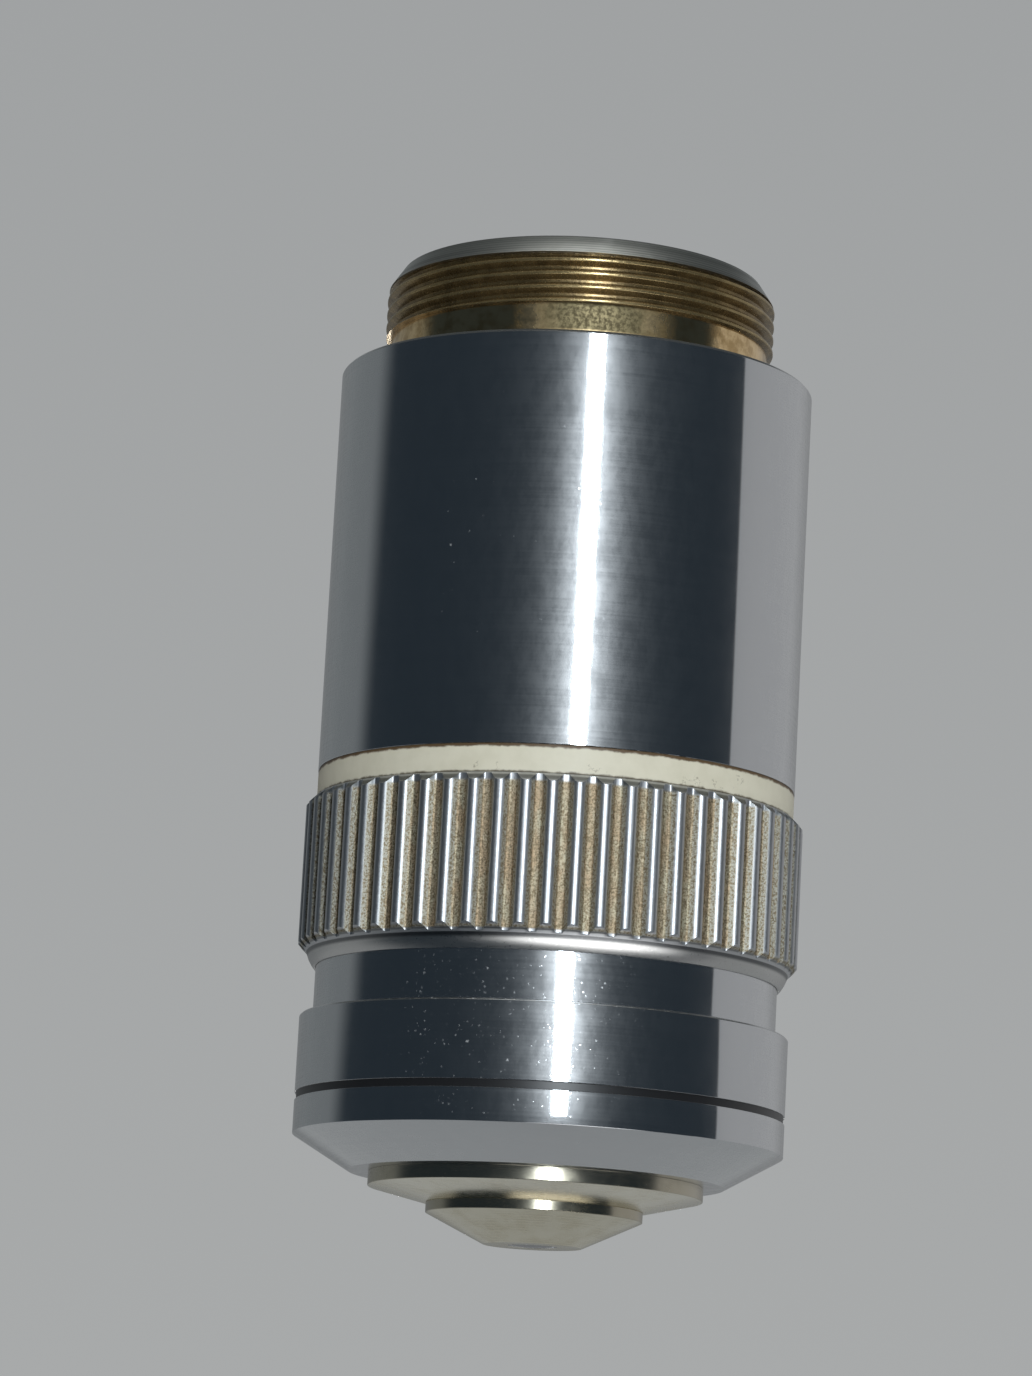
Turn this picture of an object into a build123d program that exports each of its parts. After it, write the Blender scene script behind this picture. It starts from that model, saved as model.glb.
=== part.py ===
from build123d import *
import math
import os

# Microscope objective of high power for oil immersion, with a spring-loaded nose.
# Millimetres. The axis is Z, z = 0 is the shoulder that seats on the nosepiece,
# the mounting thread is above it and the nose hangs below.

# Clearances
running_clearance = 0.05        # radial, between pieces that slide on each other
fit_clearance = 0.02            # radial, between pieces screwed or pressed together
lens_clearance = 0.03           # radial, round a lens in its cell
cement_film = 0.02              # between the two glasses of a doublet

# Radii that the rest is built out from
thread_radius = 10.12           # outside of the mounting thread
lens_bore_radius = 6.6          # inside of the tube that carries the lenses

# Thread collar
thread_length = 2.6
relief_length = 2.0             # plain neck between the shoulder and the thread
relief_depth = 0.3
lead_length = 1.0               # tapered end that guides the thread in
lead_taper = 0.72
collar_wall = 1.2               # between the relief and the bore
collar_seat_depth = 5.0         # how far the collar goes into the barrel
collar_seat_step = 0.05         # the seat is this much larger than the thread
collar_seat_drop = 0.1          # the seat ends this far below the shoulder

# Walls, from the lens barrel outwards
lens_barrel_wall = 1.7
spring_wire = 0.9
spring_side_gap = 0.6           # on both sides of the spring
spigot_wall = 0.9
barrel_wall = 1.85
neck_wall = 1.38
sleeve_wall = 0.62

# Outer barrel
barrel_length = 21.0
barrel_chamfer = 0.15
barrel_web_height = 1.5         # inner web that the collar stands on
barrel_web_width = 1.0
spigot_length = 6.0             # thinner lower end, under the colour ring and the grip

# Colour ring
colour_ring_height = 1.45
colour_ring_inset = 0.02

# Knurled grip
grip_length = 8.65
grip_flange_height = 0.75       # smooth rim under the knurl
grip_flange_wall = 0.5
grip_flange_taper = 0.4         # the rim's lower edge is this much smaller
knurl_height = 0.45             # crest above the smooth rim
knurl_depth = 0.39              # groove floor below the crest
knurl_count = 60
knurl_crest_width = 0.22
knurl_flank_angle = 45.0        # from the radius, in degrees
knurl_turn = 2.25               # of the first groove from the X axis, in degrees

# Nose travel and its stops
nose_travel = 2.2
sleeve_top_gap = 0.3            # left under the grip at full travel
guide_end_gap = 0.4             # left under the guide tube at full travel
guide_ledge_height = 1.8
shim_thickness = 0.3
guide_pin_radius = 0.4
guide_pin_sink = 0.08           # outer end below the neck's surface
guide_slot_depth = 0.7
guide_slot_end_gap = 0.15
guide_slot_side_gap = 0.05

# Nose sleeve
sleeve_length = 6.0
sleeve_chamfer = 0.1
sleeve_cone_height = 1.7
sleeve_floor_height = 2.4
sleeve_front_land = 1.05        # flat ring round the front mount
immersion_groove_drop = 3.95    # below the sleeve's upper edge
immersion_groove_width = 0.4
immersion_groove_depth = 0.08

# Lens barrel
lens_barrel_step = 0.4          # shoulder that stands on the sleeve's floor
lens_barrel_flange_height = 1.0
flange_side_gap = 0.2
lens_barrel_rear_land = 1.6     # left above the retaining ring

# Spring and its seat
spring_length = 12.3            # as fitted, nose at rest
spring_turns = 6
wire_sides = 8
spring_seat_height = 2.0
spanner_slot_width = 1.2
spanner_slot_depth = 0.8

# Rear baffle
baffle_thickness = 0.5
baffle_aperture_radius = 5.5

# Front mount, the outer of the two pale rings at the nose
front_mount_lap = 0.6           # its rim reaches this far over the lens barrel's end
front_mount_rim_height = 0.7
front_mount_cone_height = 0.7
front_mount_nose_land = 0.1
front_mount_spigot_length = 1.5

# Front lens cell, the inner ring with the tip
front_cell_spigot_radius = 4.6
front_cell_spigot_length = 2.35
front_cell_wall = 1.2
front_cell_rim_width = 0.9
front_cell_rim_height = 0.5
front_cell_cone_height = 1.45
front_cell_throat_height = 0.8
tip_radius = 2.5
tip_lip_height = 0.08
tip_lip_width = 0.25

# Front lens
front_lens_radius = 1.52
front_lens_edge = 0.25

# Cells of the lens train
cell_ledge_height = 0.5
cell_ledge_width = 0.5
cell_top_gap = 0.3              # from a lens's crown to the top of its cell

# Meniscus
meniscus_radius = 3.5
meniscus_rim = 0.5
meniscus_hollow_curve = 6.0
meniscus_crown_curve = 4.6
meniscus_edge = 0.6

# Doublets: lens radius, flint thickness on the axis, cemented curve, crown edge, rear curve
doublet_a_radius = 4.2
doublet_a_flint = 0.7
doublet_a_cement_curve = 6.5
doublet_a_edge = 0.4
doublet_a_rear_curve = 8.0

doublet_b_radius = 5.0
doublet_b_flint = 0.8
doublet_b_cement_curve = 9.0
doublet_b_edge = 0.5
doublet_b_rear_curve = 12.0

rear_radius = 5.2
rear_flint_thickness = 0.9
rear_cement_curve = 11.0
rear_edge = 0.6
rear_rear_curve = 16.0

# Spacers and the ring that closes the train
spacer_a_height = 1.5
spacer_b_height = 3.0
spacer_wall = 0.9
retaining_ring_height = 1.6
retaining_ring_wall = 1.2

# Radii worked out from the walls
relief_radius = thread_radius - relief_depth
lead_rim_radius = thread_radius - lead_taper
collar_bore_radius = relief_radius - collar_wall
collar_seat_radius = thread_radius + collar_seat_step
collar_socket_radius = collar_seat_radius + fit_clearance
barrel_web_radius = collar_socket_radius - barrel_web_width

lens_barrel_radius = lens_bore_radius + lens_barrel_wall
housing_bore_radius = lens_barrel_radius + spring_side_gap + spring_wire + spring_side_gap
spigot_radius = housing_bore_radius + spigot_wall
barrel_radius = housing_bore_radius + barrel_wall
neck_radius = housing_bore_radius + neck_wall
sleeve_bore_radius = neck_radius + running_clearance
sleeve_radius = sleeve_bore_radius + sleeve_wall
guide_ledge_radius = lens_barrel_radius + running_clearance
ring_in_housing_radius = housing_bore_radius - fit_clearance

grip_upper_bore_radius = spigot_radius + fit_clearance
grip_lower_bore_radius = neck_radius + fit_clearance
grip_flange_radius = grip_lower_bore_radius + grip_flange_wall
grip_crest_radius = grip_flange_radius + knurl_height

lens_barrel_spigot_radius = lens_barrel_radius - lens_barrel_step
sleeve_hole_radius = lens_barrel_spigot_radius + fit_clearance
front_mount_rim_radius = lens_barrel_spigot_radius + front_mount_lap
sleeve_front_radius = front_mount_rim_radius + sleeve_front_land
front_cell_rim_radius = front_cell_spigot_radius + front_cell_rim_width
front_mount_nose_radius = front_cell_rim_radius + front_mount_nose_land
front_mount_bore_radius = front_cell_spigot_radius + fit_clearance
front_cell_bore_radius = front_cell_spigot_radius - front_cell_wall
front_lens_seat_radius = front_lens_radius + lens_clearance
cell_radius = lens_bore_radius - fit_clearance

# Heights, from the shoulder down to the tip
web_top = -collar_seat_depth
web_bottom = web_top - barrel_web_height
barrel_bottom = -barrel_length
spigot_end = barrel_bottom - spigot_length
colour_ring_bottom = barrel_bottom - colour_ring_height
grip_bottom = colour_ring_bottom - grip_length
knurl_bottom = grip_bottom + grip_flange_height
sleeve_top = grip_bottom - sleeve_top_gap - nose_travel
sleeve_edge = sleeve_top - sleeve_length
sleeve_front = sleeve_edge - sleeve_cone_height
front_mount_edge = sleeve_front - front_mount_rim_height
front_mount_nose = front_mount_edge - front_mount_cone_height
front_cell_edge = front_mount_nose - front_cell_rim_height
tip = front_cell_edge - front_cell_cone_height

# Heights, from the sleeve's floor up to the spring seat
sleeve_floor = sleeve_front + sleeve_floor_height
guide_bottom = sleeve_floor + nose_travel + guide_end_gap
guide_ledge_top = guide_bottom + guide_ledge_height
guide_pin_z = guide_bottom + guide_ledge_height / 2
shim_top = guide_ledge_top + shim_thickness
flange_top = shim_top + lens_barrel_flange_height
spring_seat_bottom = flange_top + spring_length
spring_seat_top = spring_seat_bottom + spring_seat_height


def turned(*points):
    """A lathe-turned piece: the closed outline of (radius, height) points spun round the axis."""
    outline = Polyline(*points, close=True)
    return revolve(Plane.XZ * make_face(outline), Axis.Z)


def ring(outer, inner, bottom, top):
    return turned((inner, bottom), (outer, bottom), (outer, top), (inner, top))


def sag(curve, radius):
    """Depth of a spherical surface of the given curve at a radius from the axis."""
    return curve - math.sqrt(curve**2 - radius**2)


def spherical(curve, radius, vertex, hollow_side):
    """Arc of a lens surface from its edge to its vertex on the axis.
    hollow_side is +1 where the centre of the sphere lies above the vertex, -1 below."""
    edge = (radius, vertex + hollow_side * sag(curve, radius))
    middle = (radius / 2, vertex + hollow_side * sag(curve, radius / 2))
    return ThreePointArc(edge, middle, (0, vertex))


def glass(*edges):
    """A lens: the half outline of lines and arcs spun round the axis."""
    return revolve(Plane.XZ * make_face(Curve() + list(edges)), Axis.Z)


def spanner_slots(outer, top):
    """Two slots across a ring's upper face, where a pin spanner turns it."""
    bar = Box(2 * outer + spanner_slot_width, spanner_slot_width, spanner_slot_depth)
    return Pos(0, 0, top - spanner_slot_depth / 2) * bar


parts = {}

# Thread collar: plain neck, thread at its outside radius, tapered end
parts["thread_collar"] = turned(
    (collar_bore_radius, web_top),
    (collar_seat_radius, web_top),
    (collar_seat_radius, -collar_seat_drop),
    (relief_radius, -collar_seat_drop),
    (relief_radius, relief_length),
    (thread_radius, relief_length),
    (thread_radius, relief_length + thread_length),
    (lead_rim_radius, relief_length + thread_length + lead_length),
    (collar_bore_radius, relief_length + thread_length + lead_length),
)

# Outer barrel: socket for the collar, web, long bore for the spring, thin lower spigot
parts["outer_barrel"] = turned(
    (collar_socket_radius, 0),
    (barrel_radius - barrel_chamfer, 0),
    (barrel_radius, -barrel_chamfer),
    (barrel_radius, barrel_bottom),
    (spigot_radius, barrel_bottom),
    (spigot_radius, spigot_end),
    (housing_bore_radius, spigot_end),
    (housing_bore_radius, web_bottom),
    (barrel_web_radius, web_bottom),
    (barrel_web_radius, web_top),
    (collar_socket_radius, web_top),
)

# Colour ring that tells the magnification, slipped on the spigot
parts["colour_ring"] = ring(
    barrel_radius - colour_ring_inset, grip_upper_bore_radius, colour_ring_bottom, barrel_bottom
)

# Knurled grip: chamfered crests, straight grooves with flat floors, smooth tapered rim below
grip_blank = turned(
    (grip_upper_bore_radius, colour_ring_bottom),
    (grip_flange_radius, colour_ring_bottom),
    (grip_crest_radius, colour_ring_bottom - knurl_height),
    (grip_crest_radius, knurl_bottom + knurl_height),
    (grip_flange_radius, knurl_bottom),
    (grip_flange_radius - grip_flange_taper, grip_bottom),
    (grip_lower_bore_radius, grip_bottom),
    (grip_lower_bore_radius, spigot_end),
    (grip_upper_bore_radius, spigot_end),
)
knurl_pitch = 2 * math.pi * grip_crest_radius / knurl_count
groove_half_mouth = (knurl_pitch - knurl_crest_width) / 2
flank_slope = math.tan(math.radians(knurl_flank_angle))
groove_half_floor = groove_half_mouth - knurl_depth * flank_slope
groove_floor_radius = grip_crest_radius - knurl_depth
groove_outside = grip_crest_radius + knurl_depth
groove_half_outside = groove_half_mouth + knurl_depth * flank_slope
groove_outline = Polyline(
    (groove_floor_radius, -groove_half_floor),
    (groove_outside, -groove_half_outside),
    (groove_outside, groove_half_outside),
    (groove_floor_radius, groove_half_floor),
    close=True,
)
knurl_length = colour_ring_bottom - knurl_bottom
groove = Pos(0, 0, knurl_bottom) * extrude(make_face(groove_outline), knurl_length)
parts["knurled_grip"] = grip_blank - [
    Rot(0, 0, knurl_turn + i * 360 / knurl_count) * groove for i in range(knurl_count)
]

# Guide tube: its outside is the bright neck, its inner ledge stops the nose
pin_hole_radius = guide_pin_radius + fit_clearance
radial = Plane((0, 0, guide_pin_z), x_dir=(0, 1, 0), z_dir=(1, 0, 0))
parts["guide_tube"] = turned(
    (housing_bore_radius, spigot_end),
    (neck_radius, spigot_end),
    (neck_radius, guide_bottom),
    (guide_ledge_radius, guide_bottom),
    (guide_ledge_radius, guide_ledge_top),
    (housing_bore_radius, guide_ledge_top),
) - radial * extrude(Circle(pin_hole_radius), sleeve_radius)

# Guide pin: pressed through the ledge into the lens barrel's slot, so the nose can't turn
guide_slot_floor = lens_barrel_radius - guide_slot_depth
guide_pin_inner = guide_slot_floor + guide_slot_end_gap
guide_pin_length = neck_radius - guide_pin_sink - guide_pin_inner
parts["guide_pin"] = radial * (
    Pos(0, 0, guide_pin_inner) * extrude(Circle(guide_pin_radius), guide_pin_length)
)

# Parfocal shim: thin ring between the ledge and the lens barrel's flange
parts["parfocal_shim"] = ring(
    ring_in_housing_radius, guide_ledge_radius, guide_ledge_top, shim_top
)

# Return spring: its first and last turns lie on the flange and the seat. The wire's section is
# eight-sided, with the wire's size across the flats
spring_radius = lens_barrel_radius + spring_side_gap + spring_wire / 2
coil_height = spring_length - spring_wire
coil = Pos(0, 0, flange_top + spring_wire / 2) * Helix(
    coil_height / spring_turns, coil_height, spring_radius
)
wire_outline = RegularPolygon(
    spring_wire / 2, wire_sides, major_radius=False, rotation=180 / wire_sides
)
wire_section = Plane(coil @ 0, x_dir=(1, 0, 0), z_dir=coil % 0) * wire_outline
parts["return_spring"] = sweep(wire_section, path=coil, is_frenet=True)

# Spring seat: threaded ring high in the barrel's bore, which also steadies the lens barrel
parts["spring_seat_ring"] = ring(
    ring_in_housing_radius, guide_ledge_radius, spring_seat_bottom, spring_seat_top
) - spanner_slots(ring_in_housing_radius, spring_seat_top)

# Rear baffle: thin blackened disc under the web
parts["rear_baffle"] = ring(
    ring_in_housing_radius, baffle_aperture_radius, web_bottom - baffle_thickness, web_bottom
)

# Nose sleeve: slides on the neck, with the lacquered groove and the wide cone
groove_top = sleeve_top - immersion_groove_drop
groove_bottom = groove_top - immersion_groove_width
groove_floor = sleeve_radius - immersion_groove_depth
parts["nose_sleeve"] = turned(
    (sleeve_bore_radius, sleeve_top),
    (sleeve_radius - sleeve_chamfer, sleeve_top),
    (sleeve_radius, sleeve_top - sleeve_chamfer),
    (sleeve_radius, groove_top),
    (groove_floor, groove_top),
    (groove_floor, groove_bottom),
    (sleeve_radius, groove_bottom),
    (sleeve_radius, sleeve_edge),
    (sleeve_front_radius, sleeve_front),
    (sleeve_hole_radius, sleeve_front),
    (sleeve_hole_radius, sleeve_floor),
    (sleeve_bore_radius, sleeve_floor),
)

# Front mount: screwed up into the lens barrel, its rim clamps the sleeve
front_mount_top = sleeve_front + front_mount_spigot_length
parts["front_mount"] = turned(
    (front_mount_bore_radius, front_mount_nose),
    (front_mount_nose_radius, front_mount_nose),
    (front_mount_rim_radius, front_mount_edge),
    (front_mount_rim_radius, sleeve_front),
    (cell_radius, sleeve_front),
    (cell_radius, front_mount_top),
    (front_mount_bore_radius, front_mount_top),
)

# Front lens cell: rim, cone and the small flat tip with its lip
front_lens_seat = tip + tip_lip_height
front_lens_equator = front_lens_seat + front_lens_edge
throat_bottom = front_lens_equator + front_lens_radius / 2
parts["front_lens_cell"] = turned(
    (front_lens_radius - tip_lip_width, tip),
    (tip_radius, tip),
    (front_cell_rim_radius, front_cell_edge),
    (front_cell_rim_radius, front_mount_nose),
    (front_cell_spigot_radius, front_mount_nose),
    (front_cell_spigot_radius, front_mount_nose + front_cell_spigot_length),
    (front_cell_bore_radius, front_mount_nose + front_cell_spigot_length),
    (front_cell_bore_radius, throat_bottom + front_cell_throat_height),
    (front_lens_seat_radius, throat_bottom),
    (front_lens_seat_radius, front_lens_seat),
    (front_lens_radius - tip_lip_width, front_lens_seat),
)

# Front lens: a small hemisphere, flat towards the oil
front_lens_crown = front_lens_equator + front_lens_radius
parts["front_lens"] = glass(
    Line((0, front_lens_seat), (front_lens_radius, front_lens_seat)),
    Line((front_lens_radius, front_lens_seat), (front_lens_radius, front_lens_equator)),
    spherical(front_lens_radius, front_lens_radius, front_lens_crown, -1),
    Line((0, front_lens_crown), (0, front_lens_seat)),
)


def lens_cell(radius, bottom, top):
    """A ring in the lens barrel with a ledge at its lower end that the lens lies on."""
    return turned(
        (radius - cell_ledge_width, bottom),
        (cell_radius, bottom),
        (cell_radius, top),
        (radius + lens_clearance, top),
        (radius + lens_clearance, bottom + cell_ledge_height),
        (radius - cell_ledge_width, bottom + cell_ledge_height),
    )


# Meniscus: hollow towards the front lens, with a flat rim on its ledge
meniscus_seat = front_mount_top + cell_ledge_height
meniscus_hollow_radius = meniscus_radius - meniscus_rim
meniscus_hollow = meniscus_seat + sag(meniscus_hollow_curve, meniscus_hollow_radius)
meniscus_edge_top = meniscus_seat + meniscus_edge
meniscus_crown = meniscus_edge_top + sag(meniscus_crown_curve, meniscus_radius)
meniscus_cell_top = meniscus_crown + cell_top_gap
parts["meniscus_cell"] = lens_cell(meniscus_radius, front_mount_top, meniscus_cell_top)
parts["meniscus_lens"] = glass(
    spherical(meniscus_hollow_curve, meniscus_hollow_radius, meniscus_hollow, -1),
    Line((meniscus_hollow_radius, meniscus_seat), (meniscus_radius, meniscus_seat)),
    Line((meniscus_radius, meniscus_seat), (meniscus_radius, meniscus_edge_top)),
    spherical(meniscus_crown_curve, meniscus_radius, meniscus_crown, -1),
    Line((0, meniscus_crown), (0, meniscus_hollow)),
)


def doublet(name, bottom, radius, flint, cement_curve, edge, rear_curve):
    """A flat-fronted flint with a crown cemented in its hollow, in a cell. Returns the cell's top."""
    seat = bottom + cell_ledge_height
    hollow = seat + flint
    flint_edge = hollow + sag(cement_curve, radius)
    crown_edge = flint_edge + cement_film
    crown_edge_top = crown_edge + edge
    crown_top = crown_edge_top + sag(rear_curve, radius)
    parts[name + "_flint"] = glass(
        Line((0, seat), (radius, seat)),
        Line((radius, seat), (radius, flint_edge)),
        spherical(cement_curve, radius, hollow, 1),
        Line((0, hollow), (0, seat)),
    )
    parts[name + "_crown"] = glass(
        spherical(cement_curve, radius, hollow + cement_film, 1),
        Line((radius, crown_edge), (radius, crown_edge_top)),
        spherical(rear_curve, radius, crown_top, -1),
        Line((0, crown_top), (0, hollow + cement_film)),
    )
    top = crown_top + cell_top_gap
    parts[name + "_cell"] = lens_cell(radius, bottom, top)
    return top


# Lens train, from the meniscus up to the ring that closes it
doublet_a_top = doublet(
    "doublet_a", meniscus_cell_top, doublet_a_radius, doublet_a_flint,
    doublet_a_cement_curve, doublet_a_edge, doublet_a_rear_curve,
)
spacer_a_top = doublet_a_top + spacer_a_height
parts["spacer_a"] = ring(cell_radius, cell_radius - spacer_wall, doublet_a_top, spacer_a_top)
doublet_b_top = doublet(
    "doublet_b", spacer_a_top, doublet_b_radius, doublet_b_flint,
    doublet_b_cement_curve, doublet_b_edge, doublet_b_rear_curve,
)
spacer_b_top = doublet_b_top + spacer_b_height
parts["spacer_b"] = ring(cell_radius, cell_radius - spacer_wall, doublet_b_top, spacer_b_top)
rear_top = doublet(
    "rear_doublet", spacer_b_top, rear_radius, rear_flint_thickness,
    rear_cement_curve, rear_edge, rear_rear_curve,
)
retaining_ring_top = rear_top + retaining_ring_height
parts["retaining_ring"] = ring(
    cell_radius, cell_radius - retaining_ring_wall, rear_top, retaining_ring_top
) - spanner_slots(cell_radius, retaining_ring_top)

# Lens barrel: carries the train, stands on the sleeve's floor, hangs by its flange
lens_barrel_top = retaining_ring_top + lens_barrel_rear_land
guide_slot_half_width = guide_pin_radius + guide_slot_side_gap
guide_slot_top = guide_pin_z + guide_pin_radius + guide_slot_end_gap
guide_slot_bottom = guide_pin_z - nose_travel - guide_pin_radius - guide_slot_end_gap
guide_slot = Pos(
    guide_slot_floor + guide_slot_depth, 0, (guide_slot_top + guide_slot_bottom) / 2
) * Box(2 * guide_slot_depth, 2 * guide_slot_half_width, guide_slot_top - guide_slot_bottom)
parts["lens_barrel"] = turned(
    (lens_bore_radius, sleeve_front),
    (lens_barrel_spigot_radius, sleeve_front),
    (lens_barrel_spigot_radius, sleeve_floor),
    (lens_barrel_radius, sleeve_floor),
    (lens_barrel_radius, shim_top),
    (housing_bore_radius - flange_side_gap, shim_top),
    (housing_bore_radius - flange_side_gap, flange_top),
    (lens_barrel_radius, flange_top),
    (lens_barrel_radius, lens_barrel_top),
    (lens_bore_radius, lens_barrel_top),
) - guide_slot

os.makedirs("parts", exist_ok=True)
for name, solid in parts.items():
    export_step(solid, f"parts/{name}.step")
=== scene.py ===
import math

import bmesh
import bpy
from mathutils import Matrix, Vector


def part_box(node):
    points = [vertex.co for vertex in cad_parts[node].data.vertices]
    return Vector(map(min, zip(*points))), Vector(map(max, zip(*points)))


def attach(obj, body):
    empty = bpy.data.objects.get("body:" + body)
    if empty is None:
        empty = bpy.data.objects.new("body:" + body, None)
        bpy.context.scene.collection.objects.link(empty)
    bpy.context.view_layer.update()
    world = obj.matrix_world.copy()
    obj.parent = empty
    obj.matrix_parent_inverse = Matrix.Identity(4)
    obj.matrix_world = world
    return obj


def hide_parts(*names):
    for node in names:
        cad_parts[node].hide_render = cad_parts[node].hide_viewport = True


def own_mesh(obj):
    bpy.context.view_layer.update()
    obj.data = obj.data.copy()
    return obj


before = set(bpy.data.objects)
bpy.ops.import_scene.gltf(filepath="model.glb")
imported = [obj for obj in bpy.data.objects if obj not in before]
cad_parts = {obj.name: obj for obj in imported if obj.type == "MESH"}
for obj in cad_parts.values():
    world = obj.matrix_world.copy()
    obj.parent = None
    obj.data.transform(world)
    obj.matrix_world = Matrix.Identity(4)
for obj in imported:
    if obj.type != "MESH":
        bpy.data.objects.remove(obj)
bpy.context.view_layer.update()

# Thread collar
# A brass tube screwed into the barrel, with the mounting thread cut round its upper end.
# The brass is bare and tarnished, the tapered lead is dull grey, the bore is blackened.
collar_seat_radius = 10.17
collar_bore_radius = 8.62
collar_top = 5.6
collar_bottom = -5.0
neck_relief_radius = 9.82
neck_relief_top = 2.0
collar_seat_top = -0.1
thread_crest_radius = 10.12
thread_root_radius = 9.74
thread_pitch = 0.7056
thread_turns = 6
thread_start = 1.2
steps_per_turn = 160
lead_start = 4.6
lead_radius = 10.06
lead_rim_radius = 9.42
lead_edge_width = 0.06
lead_edge_height = 0.04
bore_chamfer = 0.1
thread_flank_angle = math.radians(27.5)
thread_root_half = 0.085
thread_rounding = 0.035
behind_root_radius = 9.44
mm_per_m = 1000.0


def drawn_on(mesh, loop, radius, height):
    """Draws a round edge on to another radius and height, as a lathe tool would. Returns the new edge."""
    grown = bmesh.ops.extrude_edge_only(mesh, edges=loop)["geom"]
    for vert in (g for g in grown if isinstance(g, bmesh.types.BMVert)):
        across = Vector((vert.co.x, vert.co.y, 0)).normalized() * radius
        vert.co = (across.x, across.y, height)
    return [g for g in grown if isinstance(g, bmesh.types.BMEdge)]


def open_edge(mesh, height):
    """The edges of an open rim that lies at one height."""
    return [
        e for e in mesh.edges
        if e.is_boundary and all(abs(v.co.z - height) < 0.001 for v in e.verts)
    ]


def finished(name, mesh, body, nodes, finish, crease=12):
    """Makes a piece of a mesh drawn in millimetres, smooth except at its creases."""
    bmesh.ops.remove_doubles(mesh, verts=mesh.verts[:], dist=0.0002)
    bmesh.ops.recalc_face_normals(mesh, faces=mesh.faces[:])
    for face in mesh.faces:
        face.smooth = True
    bmesh.ops.scale(mesh, vec=(1 / mm_per_m,) * 3, verts=mesh.verts[:])
    data = bpy.data.meshes.new(name)
    mesh.to_mesh(data)
    mesh.free()
    data.set_sharp_from_angle(angle=math.radians(crease))
    data.materials.append(finish)
    piece = bpy.data.objects.new(name, data)
    bpy.context.scene.collection.objects.link(piece)
    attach(piece, body)
    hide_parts(*nodes)
    return piece


collar = bmesh.new()
flank_run = (thread_crest_radius - thread_root_radius) * math.tan(thread_flank_angle)
thread_corners = [
    collar.verts.new((radius, 0, thread_start + height))
    for radius, height in (
        (thread_root_radius, thread_root_half),
        (thread_crest_radius, thread_root_half + flank_run),
        (thread_crest_radius, thread_pitch - thread_root_half - flank_run),
        (thread_root_radius, thread_pitch - thread_root_half),
    )
]
thread_ends = [
    collar.verts.new((thread_root_radius, 0, thread_start + thread_pitch)),
    collar.verts.new((behind_root_radius, 0, thread_start + thread_pitch)),
    collar.verts.new((behind_root_radius, 0, thread_start)),
    collar.verts.new((thread_root_radius, 0, thread_start)),
]
collar.faces.new(thread_corners + thread_ends)
bmesh.ops.bevel(
    collar, geom=thread_corners, offset=thread_rounding, offset_type="OFFSET", segments=3,
    profile=0.5, affect="VERTICES", material=-1,
)
# The back of the outline only closes it for the rounding
bmesh.ops.delete(collar, geom=thread_ends[1:3], context="VERTS")
bmesh.ops.spin(
    collar, geom=collar.verts[:] + collar.edges[:], cent=(0, 0, 0), axis=(0, 0, 1),
    dvec=(0, 0, thread_pitch / steps_per_turn), angle=2 * math.pi * thread_turns,
    steps=steps_per_turn * thread_turns,
)
bmesh.ops.remove_doubles(collar, verts=collar.verts[:], dist=0.0005)
bmesh.ops.bisect_plane(
    collar, geom=collar.verts[:] + collar.edges[:] + collar.faces[:], dist=0.00001,
    plane_co=(0, 0, neck_relief_top), plane_no=(0, 0, 1), clear_inner=True,
)
bmesh.ops.bisect_plane(
    collar, geom=collar.verts[:] + collar.edges[:] + collar.faces[:], dist=0.00001,
    plane_co=(0, 0, lead_start), plane_no=(0, 0, 1), clear_outer=True,
)
lower_rim = open_edge(collar, neck_relief_top)
upper_rim = open_edge(collar, lead_start)
for radius, height in (
    (neck_relief_radius, neck_relief_top),
    (neck_relief_radius, collar_seat_top),
    (collar_seat_radius, collar_seat_top),
    (collar_seat_radius, collar_bottom),
    (collar_bore_radius, collar_bottom),
):
    lower_rim = drawn_on(collar, lower_rim, radius, height)
for radius, height in (
    (lead_radius, lead_start),
    (lead_rim_radius, collar_top - lead_edge_height),
    (lead_rim_radius - lead_edge_width, collar_top),
    (collar_bore_radius + bore_chamfer, collar_top),
    (collar_bore_radius, collar_top - bore_chamfer),
):
    upper_rim = drawn_on(collar, upper_rim, radius, height)
bmesh.ops.bridge_loops(collar, edges=lower_rim + upper_rim)


def add(tree, kind, sockets=None, **settings):
    """Adds a node, with its settings, and sets its sockets to values or joins them to other nodes."""
    new = tree.nodes.new("ShaderNode" + kind)
    for key, value in settings.items():
        setattr(new, key, value)
    for key, value in (sockets or {}).items():
        if isinstance(value, bpy.types.NodeSocket):
            tree.links.new(value, new.inputs[key])
        else:
            new.inputs[key].default_value = value
    return new


def new_finish(name, **sockets):
    """Starts a finish. Returns it with its tree, its shader and the place on the piece in millimetres."""
    finish = bpy.data.materials.new(name)
    finish.use_nodes = True
    tree = finish.node_tree
    shader = tree.nodes["Principled BSDF"]
    for key, value in sockets.items():
        shader.inputs[key.replace("_", " ")].default_value = value
    spot = add(tree, "TexCoord").outputs["Object"]
    place = add(tree, "VectorMath", {0: spot, "Scale": mm_per_m}, operation="SCALE").outputs[0]
    return finish, tree, shader, place


def heights(tree, place):
    """Distance from the axis and height on the piece, in millimetres."""
    parts = add(tree, "SeparateXYZ", {0: place})
    across = add(tree, "CombineXYZ", {0: parts.outputs[0], 1: parts.outputs[1]})
    radius = add(tree, "VectorMath", {0: across.outputs[0]}, operation="LENGTH").outputs["Value"]
    return radius, parts.outputs[2]


def between(tree, value, low, high, from_value=0.0, to_value=1.0):
    """A soft step from one value to another as value goes from low to high."""
    return add(
        tree, "MapRange",
        {"Value": value, 1: low, 2: high, 3: from_value, 4: to_value},
        interpolation_type="SMOOTHSTEP",
    ).outputs[0]


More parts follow.
